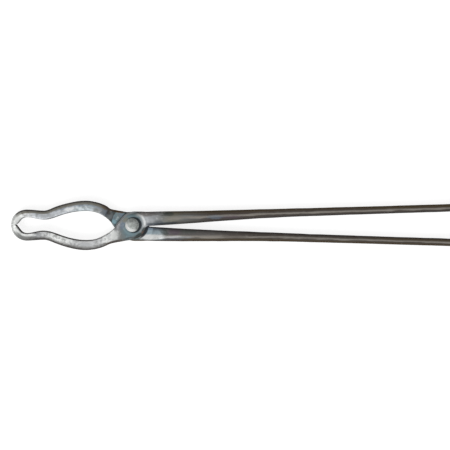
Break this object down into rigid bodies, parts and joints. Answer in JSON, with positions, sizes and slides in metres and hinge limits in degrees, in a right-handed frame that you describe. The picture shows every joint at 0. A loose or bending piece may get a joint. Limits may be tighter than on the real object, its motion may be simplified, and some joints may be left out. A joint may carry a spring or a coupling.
{
  "type": "rivet tongs",
  "caption": "Long forged tongs for holding round stock in the fire: bowed jaws with a round front eye, a half-lap boss turning on a rivet, and long tapering reins.",
  "frame": {"origin": "centre of the round front eye, halfway through the thickness of the jaws", "axes": "+X along the tongs from the front eye towards the ends of the reins, +Y across them in the plane in which they open, +Z along the eye's and the rivet's axis, out of the side with the hammered rivet head"},
  "size_m": [0.5996, 0.0584, 0.0196],
  "materials": {
    "forged_steel": "forged steel, bright and worn at the jaws, temper-coloured at the boss, brown-grey scale on the reins",
    "rivet_steel": "hammered rivet head, worn bright at its rim"
  },
  "bodies": {
    "lower_half": {"bottom_half": "forged_steel", "rivet": "rivet_steel"},
    "upper_half": {"top_half": "forged_steel"}
  },
  "joints": [
    {"name": "boss_hinge", "type": "hinge", "parent": "lower_half", "child": "upper_half", "pos_m": [0.1244, 0, 0], "axis": [0, 0, 1], "range_deg": [0, 58]}
  ]
}
